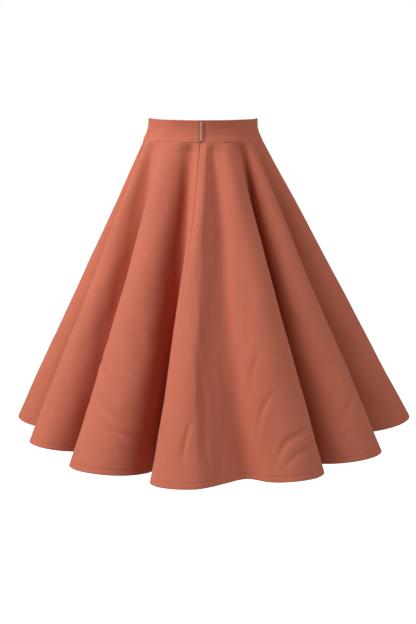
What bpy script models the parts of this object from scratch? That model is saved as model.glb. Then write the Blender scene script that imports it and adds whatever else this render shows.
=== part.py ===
"""Circle skirt with a contoured waistband and a centre-back zip.

The skirt keeps the hollow form it has when worn: a full circle of cloth that
hangs from the waist seam in twelve deep conical flutes. Metres, Z up, the
wearer's front towards +Y, the zip towards -Y, and the wearer's right at +X.
The origin is the centre of the waistband's top edge.
"""
import math
from typing import NamedTuple

import bmesh
import bpy
from mathutils import Matrix, Vector

# ---- driving dimensions ----------------------------------------------------
BAND_HEIGHT = 0.045
BAND_WALL = 0.0020
CLOTH = 0.0012
HEM_CLOTH = 0.0022
HEM_TURN = 0.012
SEAM_GAP = 0.0003
FOLD_HUG = 0.016
HUG_PLACE = 0.30
HUG_EASE = 0.30
ARC_STEPS = 4
FLANK_STEPS = 3
BAND_STATIONS = 48

TAPE_WIDTH = 0.012
TAPE_THICK = 0.0006
CHAIN_WIDTH = 0.0034
CHAIN_THICK = 0.0014
ZIP_GAP = 0.0005

SLOT_HALF = 0.0020
SLIDER_HALF = 0.0017
SLIDER_BACK = -0.0899
SLIDER_FACE = -0.0942
SLIDER_TOP = -0.0045
SLIDER_FOOT = -0.0125
ARCH_HALF = 0.0005
ARCH_BAR = 0.0009
ARCH_FACE = -0.0972
PULL_PIVOT = Vector((0.0, -0.0955, -0.0105))
PULL_LENGTH = 0.0320
PULL_LEAN = math.radians(10.0)
PULL_THICK = 0.0009

CLOTH_COLOUR = (0.42, 0.135, 0.085, 1.0)
TAPE_COLOUR = (0.36, 0.11, 0.07, 1.0)
METAL_COLOUR = (0.66, 0.55, 0.42, 1.0)


class BandRow(NamedTuple):
    """One level round the waistband: height, half width, half depth, slot."""
    z: float
    half_x: float
    half_y: float
    slot: float


BAND_ROWS = (
    BandRow(0.0000, 0.1145, 0.0920, 0.0042),
    BandRow(-0.0080, 0.1145, 0.0920, SLOT_HALF),
    BandRow(-0.0180, 0.1150, 0.0926, SLOT_HALF),
    BandRow(-0.0310, 0.1185, 0.0955, SLOT_HALF),
    BandRow(-BAND_HEIGHT, 0.1255, 0.1010, SLOT_HALF),
)
WAIST_X = 0.1251
WAIST_Y = 0.1006


class Flute(NamedTuple):
    """One outward fold and the groove that follows it round the hem.

    Azimuths are degrees from -Y towards +X. The fold is a round lobe of
    radius swell whose middle stands reach from the axis at the hem; drops are
    measured down from the waist seam. wrap is how far the lobe runs round
    before its flank leaves for the groove.
    """
    waist_deg: float
    hem_deg: float
    reach: float
    swell: float
    drop: float
    groove_waist_deg: float
    groove_deg: float
    groove_reach: float
    groove_drop: float
    wrap_deg: float


FLUTES = (
    Flute(4.2, -1.8, 0.430, 0.073, 0.606, 13.8, 12.6, 0.424, 0.610, 42.0),
    Flute(28.0, 24.5, 0.402, 0.083, 0.606, 44.7, 37.5, 0.315, 0.622, 90.0),
    Flute(59.0, 49.0, 0.374, 0.085, 0.600, 72.8, 69.5, 0.290, 0.620, 90.0),
    Flute(90.0, 89.0, 0.364, 0.084, 0.592, 108.0, 106.0, 0.300, 0.618, 90.0),
    Flute(122.0, 121.0, 0.363, 0.076, 0.600, 137.0, 136.5, 0.296, 0.620, 86.0),
    Flute(151.0, 150.0, 0.380, 0.077, 0.606, 165.0, 165.5, 0.312, 0.624, 90.0),
    Flute(178.0, 180.5, 0.390, 0.080, 0.611, 192.0, 195.0, 0.308, 0.625, 84.0),
    Flute(206.0, 209.0, 0.379, 0.072, 0.607, 220.0, 224.0, 0.302, 0.620, 90.0),
    Flute(234.0, 239.5, 0.360, 0.077, 0.602, 248.0, 255.0, 0.288, 0.619, 88.0),
    Flute(265.0, 270.0, 0.336, 0.069, 0.600, 275.0, 287.0, 0.272, 0.620, 90.0),
    Flute(286.0, 303.0, 0.345, 0.062, 0.602, 296.2, 318.0, 0.298, 0.622, 90.0),
    Flute(320.0, 334.0, 0.381, 0.080, 0.603, 344.4, 347.0, 0.322, 0.625, 90.0),
)


class Sway(NamedTuple):
    """A sideways lean of the cloth round one place, in metres.

    early and late shape how it grows below the waist and dies above the hem.
    """

    place: float
    width: float
    shift: float
    early: float
    late: float


SWAYS = (
    Sway(0.45, 0.45, -0.015, 1.6, 1.0),
    Sway(1.50, 0.35, 0.017, 1.0, 4.0),
    Sway(11.60, 0.30, 0.012, 1.0, 1.0),
    Sway(10.60, 0.30, 0.012, 1.0, 1.0),
    Sway(9.60, 0.30, 0.011, 1.0, 1.0),
)

# places along the cloth, in flutes: whole numbers are crests, halves grooves
SIDE_RIGHT = 3.0
SIDE_LEFT = 9.25
CENTRE_BACK = 11.875

# shares of the way from the waist seam to the hem
ROW_SHARES = (0.0, 0.03, 0.08, 0.15, 0.25, 0.38, 0.55, 0.76)
ZIP_ROWS = 5
MEAN_THREAD = 0.70


# ---- the form of the cloth ---------------------------------------------------
def outward(azimuth):
    """Unit vector out from the axis at an azimuth in degrees."""
    angle = math.radians(azimuth)
    return Vector((math.sin(angle), -math.cos(angle), 0.0))


def sideways(azimuth):
    """Unit vector round the axis at an azimuth in degrees."""
    angle = math.radians(azimuth)
    return Vector((math.cos(angle), math.sin(angle), 0.0))


def oval(azimuth, half_x, half_y):
    """Point on an ellipse seen at an azimuth in degrees."""
    way = outward(azimuth)
    radius = half_x * half_y / math.hypot(half_y * way.x, half_x * way.y)
    return way * radius


def ease(share):
    """Smooth step from 0 to 1."""
    return share * share * (3.0 - 2.0 * share)


def bend(start, start_way, end, end_way, share):
    """Cubic between two points with given end tangents."""
    square = share * share
    cube = square * share
    return (start * (2 * cube - 3 * square + 1) + start_way * (cube - 2 * square + share)
            + end * (3 * square - 2 * cube) + end_way * (cube - square))


def half_fold(place):
    """The lobe, the groove, the side and the share from crest to groove."""
    number = int(math.floor(place)) % len(FLUTES)
    share = place - math.floor(place)
    groove = FLUTES[number]
    if share <= 0.5:
        return groove, groove, 1.0, share * 2.0
    return FLUTES[(number + 1) % len(FLUTES)], groove, -1.0, 2.0 - share * 2.0


def hem_point(place):
    """Point of the hem at a place along the cloth."""
    lobe, groove, side, share = half_fold(place)
    out = outward(lobe.hem_deg)
    round_way = sideways(lobe.hem_deg) * side
    middle = out * lobe.reach
    wrap = math.radians(groove.wrap_deg)
    turn = wrap * min(share * 2.0, 1.0)
    edge = middle + out * (lobe.swell * math.cos(turn)) + round_way * (lobe.swell * math.sin(turn))
    if share > 0.5:
        end = outward(groove.groove_deg) * groove.groove_reach
        chord = (end - edge).length
        leave = round_way * math.cos(wrap) - out * math.sin(wrap)
        arrive = sideways(groove.groove_deg) * side
        edge = bend(edge, leave * chord, end, arrive * chord * 0.75, share * 2.0 - 1.0)
    fall = lobe.drop + (groove.groove_drop - lobe.drop) * ease(share)
    edge.z = -BAND_HEIGHT - fall
    return edge


def waist_point(place):
    """Point of the waist seam at a place along the cloth."""
    lobe, groove, side, share = half_fold(place)
    start = lobe.waist_deg
    swing = (groove.groove_waist_deg - start) * side % 360.0
    point = oval(start + side * swing * share, WAIST_X, WAIST_Y)
    point.z = -BAND_HEIGHT - SEAM_GAP
    return point


def near(place, middle, width):
    """A soft bump round the cloth, 1 at its middle and 0 away from it."""
    lap = len(FLUTES)
    gap = (place - middle + lap / 2.0) % lap - lap / 2.0
    return math.exp(-(gap / width) ** 2)


def lean(place, share):
    """Sideways lean of the cloth between waist and hem, in metres."""
    total = 0.0
    for sway in SWAYS:
        top = sway.early / (sway.early + sway.late)
        peak = top ** sway.early * (1.0 - top) ** sway.late
        down = share ** sway.early * (1.0 - share) ** sway.late / peak
        total += sway.shift * down * near(place, sway.place, sway.width)
    return total


def cloth_point(place, share):
    """Point of the outer face at a place along and a share down the cloth."""
    top = waist_point(place)
    point = top + (hem_point(place) - top) * share
    depth = ease(half_fold(place)[3]) * (1.0 - HUG_EASE * near(place, 0.5, 0.4))
    reach = share / HUG_PLACE
    hug = FOLD_HUG * depth * reach * math.exp(1.0 - reach) * (1.0 - share)
    radius = math.hypot(point.x, point.y)
    point.x *= 1.0 - hug / radius
    point.y *= 1.0 - hug / radius
    aside = lean(place, share) / radius
    point.x, point.y = point.x - point.y * aside, point.y + point.x * aside
    return point


def cloth_normal(place, share):
    """Outward unit normal of the cloth."""
    step = 0.004
    low = min(max(share, 0.01), 0.99)
    along = cloth_point(place + step, low) - cloth_point(place - step, low)
    down = cloth_point(place, low + step) - cloth_point(place, low - step)
    normal = down.cross(along).normalized()
    return normal


def stations():
    """Every place along the cloth that carries a column of points."""
    halves = [step * 0.25 / ARC_STEPS for step in range(ARC_STEPS)]
    halves += [0.25 + step * 0.25 / FLANK_STEPS for step in range(FLANK_STEPS + 1)]
    fold = halves + [1.0 - value for value in reversed(halves[1:-1])]
    return [number + value for number in range(len(FLUTES)) for value in fold]


# ---- builders ----------------------------------------------------------------
def material(name, colour, metallic, roughness):
    """A plain Principled material."""
    finish = bpy.data.materials.new(name)
    finish.use_nodes = True
    shader = finish.node_tree.nodes["Principled BSDF"]
    shader.inputs["Base Color"].default_value = colour
    shader.inputs["Metallic"].default_value = metallic
    shader.inputs["Roughness"].default_value = roughness
    finish.diffuse_color = colour
    return finish


def finish_mesh(name, shape, finish, home):
    """Turn a bmesh into a named object with outward faces."""
    bmesh.ops.recalc_face_normals(shape, faces=shape.faces)
    mesh = bpy.data.meshes.new(name)
    shape.to_mesh(mesh)
    shape.free()
    mesh.materials.append(finish)
    piece = bpy.data.objects.new(name, mesh)
    home.objects.link(piece)
    return piece


def wall(name, outer, inner, finish, home):
    """A closed wall between two equal grids of points, rows by columns."""
    shape = bmesh.new()
    rows = len(outer)
    columns = len(outer[0])
    face = [[shape.verts.new(point) for point in row] for row in outer]
    back = [[shape.verts.new(point) for point in row] for row in inner]
    for row in range(rows - 1):
        for column in range(columns - 1):
            for grid in (face, back):
                shape.faces.new((grid[row][column], grid[row][column + 1],
                                 grid[row + 1][column + 1], grid[row + 1][column]))
    for row in (0, rows - 1):
        for column in range(columns - 1):
            shape.faces.new((face[row][column], face[row][column + 1],
                             back[row][column + 1], back[row][column]))
    for column in (0, columns - 1):
        for row in range(rows - 1):
            shape.faces.new((face[row][column], face[row + 1][column],
                             back[row + 1][column], back[row][column]))
    return finish_mesh(name, shape, finish, home)


def row_plan():
    """Share down the cloth and wall thickness of each row of points."""
    plan = [(share, CLOTH) for share in ROW_SHARES]
    turn = HEM_TURN / MEAN_THREAD
    plan.append((1.0 - turn * 1.08, CLOTH))
    plan.append((1.0 - turn, HEM_CLOTH))
    plan.append((1.0, HEM_CLOTH))
    return plan


def panel(name, start, end, finish, home):
    """One skirt panel between two places, its edges half a seam gap in."""
    lap = len(FLUTES)
    every = [place + turn for turn in (0, lap) for place in stations()]
    places = [place for place in every if start - 1e-6 <= place <= end + 1e-6]
    outer = []
    inner = []
    for share, thick in row_plan():
        points = [cloth_point(place, share) for place in places]
        normals = [cloth_normal(place, share) for place in places]
        for edge, beside in ((0, 1), (-1, -2)):
            along = (points[beside] - points[edge])
            along -= normals[edge] * along.dot(normals[edge])
            points[edge] = points[edge] + along.normalized() * (SEAM_GAP / 2.0)
        outer.append(points)
        inner.append([point - normal * thick for point, normal in zip(points, normals)])
    return wall(name, outer, inner, finish, home)


def band_point(row, azimuth):
    """Point on the waistband's outer face."""
    point = oval(azimuth, row.half_x, row.half_y)
    point.z = row.z
    return point


def band_normal(row, azimuth):
    """Level outward normal of the waistband."""
    point = oval(azimuth, row.half_x, row.half_y)
    return Vector((point.x / row.half_x ** 2, point.y / row.half_y ** 2, 0.0)).normalized()


def waistband(finish, home):
    """The shaped band, open at centre back with softened top corners."""
    outer = []
    inner = []
    for row in BAND_ROWS:
        edge = math.degrees(math.asin(row.slot / row.half_y))
        turns = [edge + (360.0 - 2.0 * edge) * step / BAND_STATIONS
                 for step in range(BAND_STATIONS + 1)]
        points = [band_point(row, turn) for turn in turns]
        normals = [band_normal(row, turn) for turn in turns]
        outer.append(points)
        inner.append([point - normal * BAND_WALL for point, normal in zip(points, normals)])
    return wall("waistband", outer, inner, finish, home)


def zip_lines(side, reaches):
    """Rows of points and normals beside the centre back, for the zip."""
    lines = []
    for row in BAND_ROWS:
        z_row = row._replace(z=min(row.z, -0.003))
        radius = row.half_x ** 2 / row.half_y
        turns = [math.degrees(side * reach / radius) for reach in reaches]
        lines.append(([band_point(z_row, turn) for turn in turns],
                      [band_normal(z_row, turn) for turn in turns], BAND_WALL))
    beside = sorted(stations(), key=lambda place: side * (place - CENTRE_BACK) % len(FLUTES))
    for share in ROW_SHARES[1:ZIP_ROWS]:
        points = [cloth_point(place, share) for place in beside[:8]]
        normals = [cloth_normal(place, share) for place in beside[:8]]
        lines.append(tuple(zip(*(walk(points, normals, reach) for reach in reaches))) + (CLOTH,))
    return lines


def walk(points, normals, reach):
    """Point and normal a given way along a chain of points."""
    left = reach
    for index in range(len(points) - 1):
        length = (points[index + 1] - points[index]).length
        if left <= length:
            share = left / length
            return (points[index].lerp(points[index + 1], share),
                    normals[index].lerp(normals[index + 1], share).normalized())
        left -= length
    return points[-1], normals[-1]


def zip_tape(name, side, finish, home):
    """One half of the zip's tape, laid inside the band and panel."""
    reaches = [SEAM_GAP / 2.0, TAPE_WIDTH / 3.0, TAPE_WIDTH * 2.0 / 3.0, TAPE_WIDTH]
    outer = []
    inner = []
    for points, normals, thick in zip_lines(side, reaches):
        inset = thick + ZIP_GAP
        outer.append([point - normal * inset for point, normal in zip(points, normals)])
        inner.append([point - normal * (inset + TAPE_THICK)
                      for point, normal in zip(points, normals)])
    return wall(name, outer, inner, finish, home)


def zip_chain(finish, home):
    """The closed coil, behind the meeting edges of the tape."""
    outer = []
    inner = []
    for points, normals, thick in zip_lines(1.0, [0.0, CHAIN_WIDTH]):
        normal = normals[0]
        across = (points[1] - points[0])
        across = (across - normal * across.dot(normal)).normalized() * (CHAIN_WIDTH / 2.0)
        centre = points[0] - normal * (thick + 2.0 * ZIP_GAP + TAPE_THICK)
        outer.append([centre - across, centre + across])
        inner.append([point - normal * CHAIN_THICK for point in outer[-1]])
    return wall("zip_chain", outer, inner, finish, home)


def open_bar(name, outer, inner, low, high, finish, home):
    """A flat bar between two matching lines in Y and Z, its width along X."""
    shape = bmesh.new()
    lines = []
    for x in (low, high):
        for line in (outer, inner):
            lines.append([shape.verts.new((x, y, z)) for y, z in line])
    for one, other in ((0, 1), (2, 3), (0, 2), (1, 3)):
        for index in range(len(outer) - 1):
            shape.faces.new((lines[one][index], lines[one][index + 1],
                             lines[other][index + 1], lines[other][index]))
    for index in (0, len(outer) - 1):
        shape.faces.new((lines[0][index], lines[1][index], lines[3][index], lines[2][index]))
    return finish_mesh(name, shape, finish, home)


def zip_slider(finish, home, cutters):
    """The slider body in the slot, with an arch on its face for the pull."""
    shape = bmesh.new()
    body = bmesh.ops.create_cube(shape, size=1.0)["verts"]
    middle = Vector((0.0, (SLIDER_BACK + SLIDER_FACE) / 2.0, (SLIDER_TOP + SLIDER_FOOT) / 2.0))
    size = Vector((2.0 * SLIDER_HALF, SLIDER_BACK - SLIDER_FACE, SLIDER_TOP - SLIDER_FOOT))
    for vertex in body:
        vertex.co = middle + vertex.co * size
    slider = finish_mesh("zip_slider", shape, finish, home)
    foot = SLIDER_FACE + 0.0004
    top = SLIDER_TOP - 0.0004
    base = SLIDER_FOOT + 0.0004
    soft = 0.0012
    outer = ((foot, top), (ARCH_FACE + soft, top), (ARCH_FACE, top - soft),
             (ARCH_FACE, base + soft), (ARCH_FACE + soft, base), (foot, base))
    inner = ((foot, top - ARCH_BAR), (ARCH_FACE + soft, top - ARCH_BAR),
             (ARCH_FACE + ARCH_BAR, top - soft - 0.0003),
             (ARCH_FACE + ARCH_BAR, base + soft + 0.0001),
             (ARCH_FACE + soft, base + ARCH_BAR), (foot, base + ARCH_BAR))
    arch = open_bar("slider_arch", outer, inner, -ARCH_HALF, ARCH_HALF, finish, cutters)
    join = slider.modifiers.new("Arch", 'BOOLEAN')
    join.operation = 'UNION'
    join.solver = 'EXACT'
    join.object = arch
    return slider


class PullRow(NamedTuple):
    """One level down the pull: height, half width, half width of its window."""
    z: float
    half: float
    window: float


PULL_ROWS = (
    PullRow(0.0005, 0.0010, 0.0),
    PullRow(-0.0004, 0.0017, 0.0009),
    PullRow(-0.0062, 0.0017, 0.0009),
    PullRow(-0.0071, 0.0016, 0.0004),
    PullRow(-0.0086, 0.0011, 0.0),
    PullRow(-0.0270, 0.0010, 0.0),
    PullRow(-0.0288, 0.0015, 0.0),
    PullRow(-0.0306, 0.0014, 0.0),
    PullRow(-PULL_LENGTH, 0.0006, 0.0),
)


def pull_levels(shape, depth):
    """The pull's points on one face, a short list for each row."""
    levels = []
    for row in PULL_ROWS:
        across = [-row.half, row.half]
        if row.window:
            across = [-row.half, -row.window, row.window, row.half]
        levels.append([shape.verts.new((x, depth, row.z)) for x in across])
    return levels


def zip_pull(finish, home):
    """The long slim pull, hung from the slider's arch by its cross bar."""
    shape = bmesh.new()
    front = pull_levels(shape, -PULL_THICK / 2.0)
    back = pull_levels(shape, PULL_THICK / 2.0)
    for levels in (front, back):
        for above, below in zip(levels, levels[1:]):
            if len(above) == 4 and len(below) == 4:
                for left in (0, 2):
                    shape.faces.new((above[left], above[left + 1],
                                     below[left + 1], below[left]))
            else:
                shape.faces.new(above + below[::-1])
    for index in range(len(PULL_ROWS) - 1):
        for column in (0, -1):
            shape.faces.new((front[index][column], front[index + 1][column],
                             back[index + 1][column], back[index][column]))
        if len(front[index]) == 4 and len(front[index + 1]) == 4:
            for column in (1, 2):
                shape.faces.new((front[index][column], front[index + 1][column],
                                 back[index + 1][column], back[index][column]))
    open_rows = [index for index, row in enumerate(PULL_ROWS) if row.window]
    for index in (open_rows[0], open_rows[-1]):
        shape.faces.new((front[index][1], front[index][2], back[index][2], back[index][1]))
    for index in (0, len(PULL_ROWS) - 1):
        shape.faces.new((front[index][0], front[index][1], back[index][1], back[index][0]))
    pull = finish_mesh("zip_pull", shape, finish, home)
    tilt = Matrix.Translation(PULL_PIVOT) @ Matrix.Rotation(-PULL_LEAN, 4, 'X')
    pull.data.transform(tilt)
    return pull


def main():
    """Build every piece of the skirt."""
    for item in list(bpy.data.objects):
        bpy.data.objects.remove(item)
    home = bpy.data.collections.new("circle_skirt")
    cutters = bpy.data.collections.new("shapers")
    bpy.context.scene.collection.children.link(home)
    bpy.context.scene.collection.children.link(cutters)

    cloth = material("terracotta_cloth", CLOTH_COLOUR, 0.0, 0.85)
    tape = material("zip_tape_cloth", TAPE_COLOUR, 0.0, 0.80)
    coil = material("zip_coil", TAPE_COLOUR, 0.0, 0.45)
    metal = material("zip_metal", METAL_COLOUR, 1.0, 0.35)

    waistband(cloth, home)
    panel("front_panel", SIDE_RIGHT, SIDE_LEFT, cloth, home)
    panel("back_panel_left", SIDE_LEFT, CENTRE_BACK, cloth, home)
    panel("back_panel_right", CENTRE_BACK, SIDE_RIGHT + len(FLUTES), cloth, home)
    zip_tape("zip_tape_left", -1.0, tape, home)
    zip_tape("zip_tape_right", 1.0, tape, home)
    zip_chain(coil, home)
    zip_slider(metal, home, cutters)
    zip_pull(metal, home)

    for helper in cutters.objects:
        helper.hide_render = True
        helper.display_type = 'WIRE'


main()
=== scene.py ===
"""Circle skirt: cloth shells, waistband, centre-back zip, studio and camera."""
from __future__ import annotations

import logging
import math
from dataclasses import dataclass, field
from enum import Enum
from typing import ClassVar, Iterable, NamedTuple, Sequence

import bmesh
import bpy
import numpy as np
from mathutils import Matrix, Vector


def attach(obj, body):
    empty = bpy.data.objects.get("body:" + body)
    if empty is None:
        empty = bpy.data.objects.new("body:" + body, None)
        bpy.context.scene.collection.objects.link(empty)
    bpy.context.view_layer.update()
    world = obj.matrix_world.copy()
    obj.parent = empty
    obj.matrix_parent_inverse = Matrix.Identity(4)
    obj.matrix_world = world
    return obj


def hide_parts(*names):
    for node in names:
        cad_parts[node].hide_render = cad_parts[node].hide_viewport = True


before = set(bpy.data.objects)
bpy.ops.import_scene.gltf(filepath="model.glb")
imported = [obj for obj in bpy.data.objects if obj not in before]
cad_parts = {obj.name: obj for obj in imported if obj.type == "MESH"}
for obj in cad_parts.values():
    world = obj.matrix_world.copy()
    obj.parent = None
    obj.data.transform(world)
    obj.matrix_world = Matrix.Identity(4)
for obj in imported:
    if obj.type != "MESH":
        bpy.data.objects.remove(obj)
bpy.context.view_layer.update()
LOG = logging.getLogger("skirt")

FRONT_DIP = 0.0095
TURN = 2.0 * math.pi


class Body(Enum):
    """The two bodies of the part."""

    SKIRT = "skirt"
    PULL = "pull"


class Slot(Enum):
    """Material slots of the part."""

    CLOTH = "skirt_cloth"
    TAPE = "zip_tape"
    COIL = "zip_coil"
    METAL = "zip_metal"


# ---- small helpers -----------------------------------------------------------


def ease(share: np.ndarray) -> np.ndarray:
    """Smooth step from 0 to 1, clamped."""
    held = np.clip(share, 0.0, 1.0)
    return held * held * (3.0 - 2.0 * held)


def dent(at: np.ndarray, middle: float, depth: float, width: float) -> np.ndarray:
    """A soft line: its depth at its middle, fading over its width."""
    return depth * np.exp(-((at - middle) / width) ** 2)


def outward(azimuth: float) -> np.ndarray:
    """Unit vector out from the axis at an azimuth in degrees."""
    angle = math.radians(azimuth)
    return np.array([math.sin(angle), -math.cos(angle), 0.0])


def sideways(azimuth: float) -> np.ndarray:
    """Unit vector round the axis at an azimuth in degrees."""
    angle = math.radians(azimuth)
    return np.array([math.cos(angle), math.sin(angle), 0.0])


def oval(azimuth: float, half_x: float, half_y: float) -> np.ndarray:
    """Point on an oval seen at an azimuth in degrees."""
    way = outward(azimuth)
    return way * (half_x * half_y / math.hypot(half_y * way[0], half_x * way[1]))


def dip(points: np.ndarray) -> np.ndarray:
    """How far the waist line sits lower towards the front, in metres."""
    return FRONT_DIP * np.clip(points[..., 1] / 0.09, 0.0, 1.0)


def unit(vectors: np.ndarray) -> np.ndarray:
    """The same vectors at length one."""
    return vectors / np.maximum(np.linalg.norm(vectors, axis=-1, keepdims=True), 1e-12)


def bend(start: np.ndarray, start_way: np.ndarray, end: np.ndarray, end_way: np.ndarray,
         share: float) -> np.ndarray:
    """Cubic between two points with given end tangents.

    Args:
        start: first point.
        start_way: tangent at the first point.
        end: last point.
        end_way: tangent at the last point.
        share: how far along, from 0 to 1.

    Returns:
        The point on the curve.
    """
    square = share * share
    cube = square * share
    return (start * (2 * cube - 3 * square + 1) + start_way * (cube - 2 * square + share)
            + end * (3 * square - 2 * cube) + end_way * (cube - square))


def run_lengths(points: np.ndarray) -> np.ndarray:
    """Distance along a line of points at each of them, from 0."""
    steps = np.linalg.norm(np.diff(points, axis=0), axis=1)
    return np.concatenate([[0.0], np.cumsum(steps)])


def read_along(marks: np.ndarray, lengths: np.ndarray, values: np.ndarray) -> np.ndarray:
    """Rows of three values read between known places of a line."""
    return np.stack([np.interp(marks, lengths, values[:, axis]) for axis in range(3)], axis=-1)


def oval_normals(points: np.ndarray, half_x: float, half_y: float) -> np.ndarray:
    """Level unit normals of an oval at points on it."""
    return unit(points * np.array([1.0 / half_x ** 2, 1.0 / half_y ** 2, 0.0]))


def add_object(name: str, mesh: bpy.types.Mesh) -> bpy.types.Object:
    """Put a mesh in the scene as an object at the origin."""
    made = bpy.data.objects.new(name, mesh)
    bpy.context.scene.collection.objects.link(made)
    return made


def smooth_faces(mesh: bpy.types.Mesh, sharp_deg: float) -> None:
    """Shade a mesh smooth, with edges over an angle kept crisp."""
    mesh.polygons.foreach_set("use_smooth", np.ones(len(mesh.polygons), dtype=bool))
    mesh.set_sharp_from_angle(angle=math.radians(sharp_deg))


def add_node(tree: bpy.types.NodeTree, kind: str, **values: object) -> bpy.types.Node:
    """Add a node to a tree and set its attributes."""
    made = tree.nodes.new(kind)
    for label, value in values.items():
        setattr(made, label, value)
    return made


def grid_normals(points: np.ndarray) -> np.ndarray:
    """Outward unit normals of a grid of points, rows down and columns round.

    Args:
        points: array of rows by columns by 3.

    Returns:
        An array of the same shape.
    """
    down = np.gradient(points, axis=0)
    along = np.gradient(points, axis=1)
    return unit(np.cross(down, along))


# ---- the form of the cloth -----------------------------------------------------


def fold_gap(places: np.ndarray, place: float) -> np.ndarray:
    """Shortest way round from one place to others, in flutes."""
    lap = len(FLUTES)
    return (places - place + lap / 2.0) % lap - lap / 2.0


class Flute(NamedTuple):
    """One outward fold and the groove that follows it round the hem."""

    waist_deg: float
    hem_deg: float
    reach: float
    swell: float
    drop: float
    groove_waist_deg: float
    groove_deg: float
    groove_reach: float
    groove_drop: float
    wrap_deg: float


FLUTES: tuple[Flute, ...] = (
    Flute(4.2, -1.8, 0.430, 0.073, 0.606, 13.8, 12.6, 0.424, 0.610, 42.0),
    Flute(28.0, 24.5, 0.402, 0.083, 0.606, 44.7, 37.5, 0.315, 0.622, 90.0),
    Flute(59.0, 49.0, 0.374, 0.085, 0.600, 72.8, 69.5, 0.290, 0.620, 90.0),
    Flute(90.0, 89.0, 0.364, 0.084, 0.592, 108.0, 106.0, 0.300, 0.618, 90.0),
    Flute(122.0, 121.0, 0.363, 0.076, 0.600, 137.0, 136.5, 0.296, 0.620, 86.0),
    Flute(151.0, 150.0, 0.380, 0.077, 0.606, 165.0, 165.5, 0.312, 0.624, 90.0),
    Flute(178.0, 180.5, 0.390, 0.080, 0.611, 192.0, 195.0, 0.308, 0.625, 84.0),
    Flute(206.0, 209.0, 0.379, 0.072, 0.607, 220.0, 224.0, 0.302, 0.620, 90.0),
    Flute(234.0, 239.5, 0.360, 0.077, 0.602, 248.0, 255.0, 0.288, 0.619, 88.0),
    Flute(265.0, 270.0, 0.336, 0.069, 0.600, 275.0, 287.0, 0.272, 0.620, 90.0),
    Flute(286.0, 303.0, 0.345, 0.062, 0.602, 296.2, 318.0, 0.298, 0.622, 90.0),
    Flute(320.0, 334.0, 0.381, 0.080, 0.603, 344.4, 347.0, 0.322, 0.625, 90.0),
)


@dataclass(frozen=True)
class Cut:
    """The flat cut of the full circle."""

    waist_radius: float = 0.1143
    length: float = 0.6755

    def flat(self, places: np.ndarray, shares: np.ndarray, grain: float) -> np.ndarray:
        """Places on the flat cloth in metres, with one edge on the straight grain.

        Args:
            places: columns, in flutes round the skirt.
            shares: rows, from the waist seam to the hem.
            grain: the place whose thread runs along the grain.

        Returns:
            Rows by columns by 2.
        """
        radius = self.radius(shares[:, None])
        angle = (places[None, :] - grain) / len(FLUTES) * TURN
        return np.stack([radius * np.sin(angle), radius * np.cos(angle)], axis=-1)

    def radius(self, shares: float | np.ndarray) -> float | np.ndarray:
        """Radius on the flat cloth at shares from the waist seam to the hem."""
        return self.waist_radius + shares * self.length


CUT = Cut()


@dataclass(frozen=True)
class Crease:
    """One soft crease or ridge, drawn on the flat cloth.

    place and share are its middle, turn its angle off the thread in degrees,
    bow how far its middle stands off its chord; a negative depth stands proud.
    """

    TIP: ClassVar[float] = 1.25
    SHOULDER_REACH: ClassVar[float] = 2.4
    SHOULDER_RISE: ClassVar[float] = 0.40
    place: float
    share: float
    length: float
    turn: float
    bow: float
    width: float
    depth: float

    def press(self, places: np.ndarray, shares: np.ndarray) -> np.ndarray:
        """How far the cloth moves out here, in metres, rows by columns."""
        gap = fold_gap(places[None, :], self.place)
        middle = CUT.radius(self.share)
        radius = CUT.radius(shares[:, None])
        across = gap / len(FLUTES) * TURN * (radius + middle) / 2.0
        down = radius - middle + np.zeros_like(across)
        angle = math.radians(self.turn)
        run = down * math.cos(angle) + across * math.sin(angle)
        off = across * math.cos(angle) - down * math.sin(angle)
        half = self.length / 2.0
        off = off - self.bow * (1.0 - (run / half) ** 2)
        fade = ease(self.TIP * (1.0 - np.abs(run) / half))
        trough = dent(off, 0.0, 1.0, self.width)
        shoulder = dent(off, 0.0, self.SHOULDER_RISE, self.SHOULDER_REACH * self.width)
        return -self.depth * fade * (trough - shoulder)


@dataclass(frozen=True)
class Ripple:
    """A small fold that starts at the waist seam and dies away below it."""

    SET_IN: ClassVar[float] = 0.03
    place: float
    width: float
    depth: float
    fade: float

    def press(self, places: np.ndarray, shares: np.ndarray) -> np.ndarray:
        """How far the cloth moves out here, in metres, rows by columns."""
        gap = fold_gap(places[None, :], self.place)
        rise = ease(shares[:, None] / self.SET_IN)
        fall = dent(shares[:, None], 0.0, 1.0, self.fade)
        return -dent(gap, 0.0, self.depth, self.width) * rise * fall


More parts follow.
